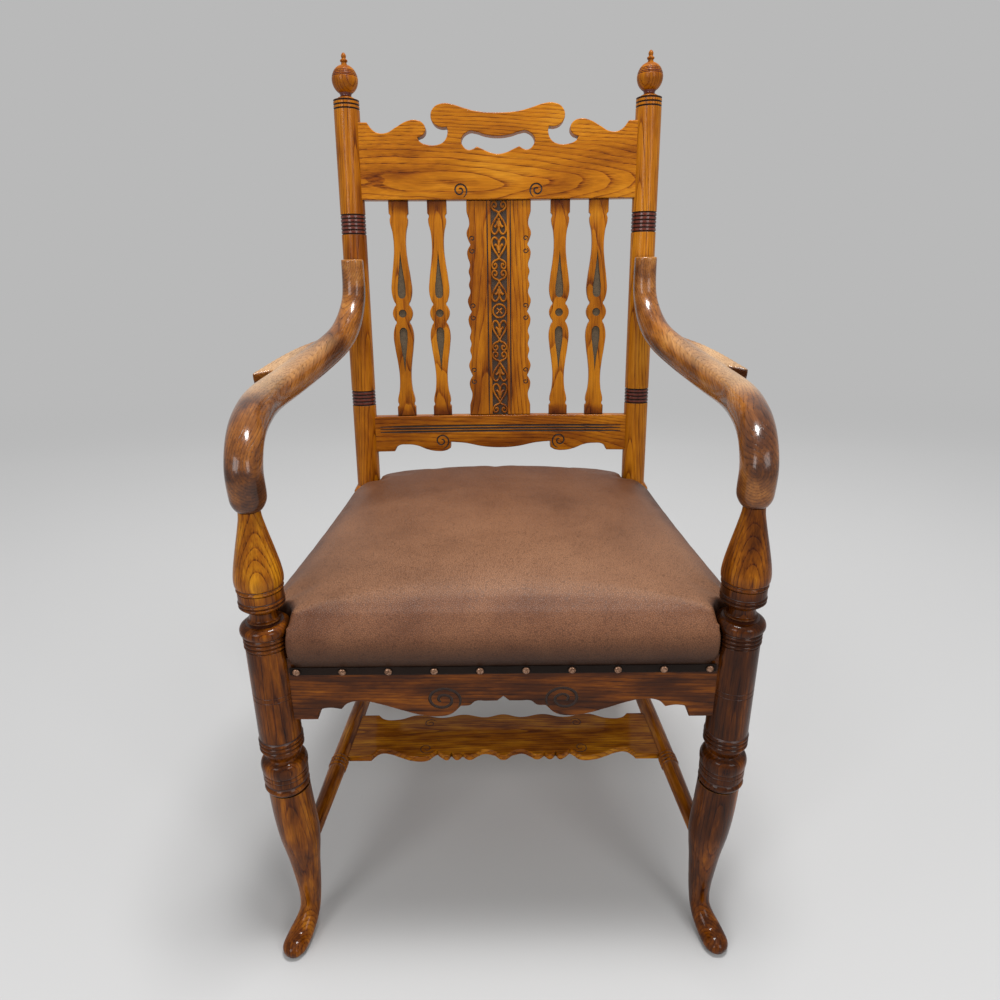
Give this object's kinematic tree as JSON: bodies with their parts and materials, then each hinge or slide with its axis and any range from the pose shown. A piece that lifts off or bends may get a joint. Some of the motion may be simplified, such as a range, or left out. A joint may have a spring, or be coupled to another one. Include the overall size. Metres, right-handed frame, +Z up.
{
  "type": "upholstered armchair",
  "caption": "Oak armchair with a raked fretted back, ball finials, swan-neck arms, turned front legs with pad feet, and a domed leather seat edged with nails.",
  "frame": {"origin": "on the floor, under the middle of the chair's length and width", "axes": "+Z up, -Y towards the front of the chair, +X towards the right of someone who looks at its front"},
  "size_m": [0.637, 0.5747, 1.1211],
  "materials": {
    "golden_oak": "satin varnish",
    "dark_oak": "satin polish",
    "arm_oak": "polished by use",
    "hidden_oak": "raw",
    "brown_leather": "soft satin",
    "border_leather": "satin",
    "nail_bronze": "antiqued",
    "jute_webbing": "woven",
    "hessian": "woven",
    "stuffing": "matt fibres"
  },
  "bodies": {
    "root": {"arm_dowel_left": "hidden_oak", "arm_dowel_right": "hidden_oak", "arm_left": "arm_oak", "arm_right": "arm_oak", "back_post_left": "golden_oak", "back_post_right": "golden_oak", "back_rail": "golden_oak", "border_nail_front_1": "nail_bronze", "border_nail_front_10": "nail_bronze", "border_nail_front_2": "nail_bronze", "border_nail_front_3": "nail_bronze", "border_nail_front_4": "nail_bronze", "border_nail_front_5": "nail_bronze", "border_nail_front_6": "nail_bronze", "border_nail_front_7": "nail_bronze", "border_nail_front_8": "nail_bronze", "border_nail_front_9": "nail_bronze", "border_strip_back": "border_leather", "border_strip_front": "border_leather", "border_strip_left": "border_leather", "border_strip_right": "border_leather", "centre_splat": "golden_oak", "corner_block_back_left": "hidden_oak", "corner_block_back_right": "hidden_oak", "corner_block_front_left": "hidden_oak", "corner_block_front_right": "hidden_oak", "crest_rail": "golden_oak", "cross_stretcher": "golden_oak", "finial_left": "dark_oak", "finial_right": "dark_oak", "front_leg_left": "dark_oak", "front_leg_right": "dark_oak", "front_rail": "dark_oak", "lower_back_rail": "golden_oak", "seat_canvas": "hessian", "seat_leather": "brown_leather", "seat_stuffing": "stuffing", "side_rail_left": "dark_oak", "side_rail_right": "dark_oak", "side_stretcher_left": "dark_oak", "side_stretcher_right": "dark_oak", "slat_inner_left": "golden_oak", "slat_inner_right": "golden_oak", "slat_outer_left": "golden_oak", "slat_outer_right": "golden_oak", "webbing_crosswise_1": "jute_webbing", "webbing_crosswise_2": "jute_webbing", "webbing_crosswise_3": "jute_webbing", "webbing_crosswise_4": "jute_webbing", "webbing_lengthwise_1": "jute_webbing", "webbing_lengthwise_2": "jute_webbing", "webbing_lengthwise_3": "jute_webbing", "webbing_lengthwise_4": "jute_webbing"}
  },
  "joints": []
}
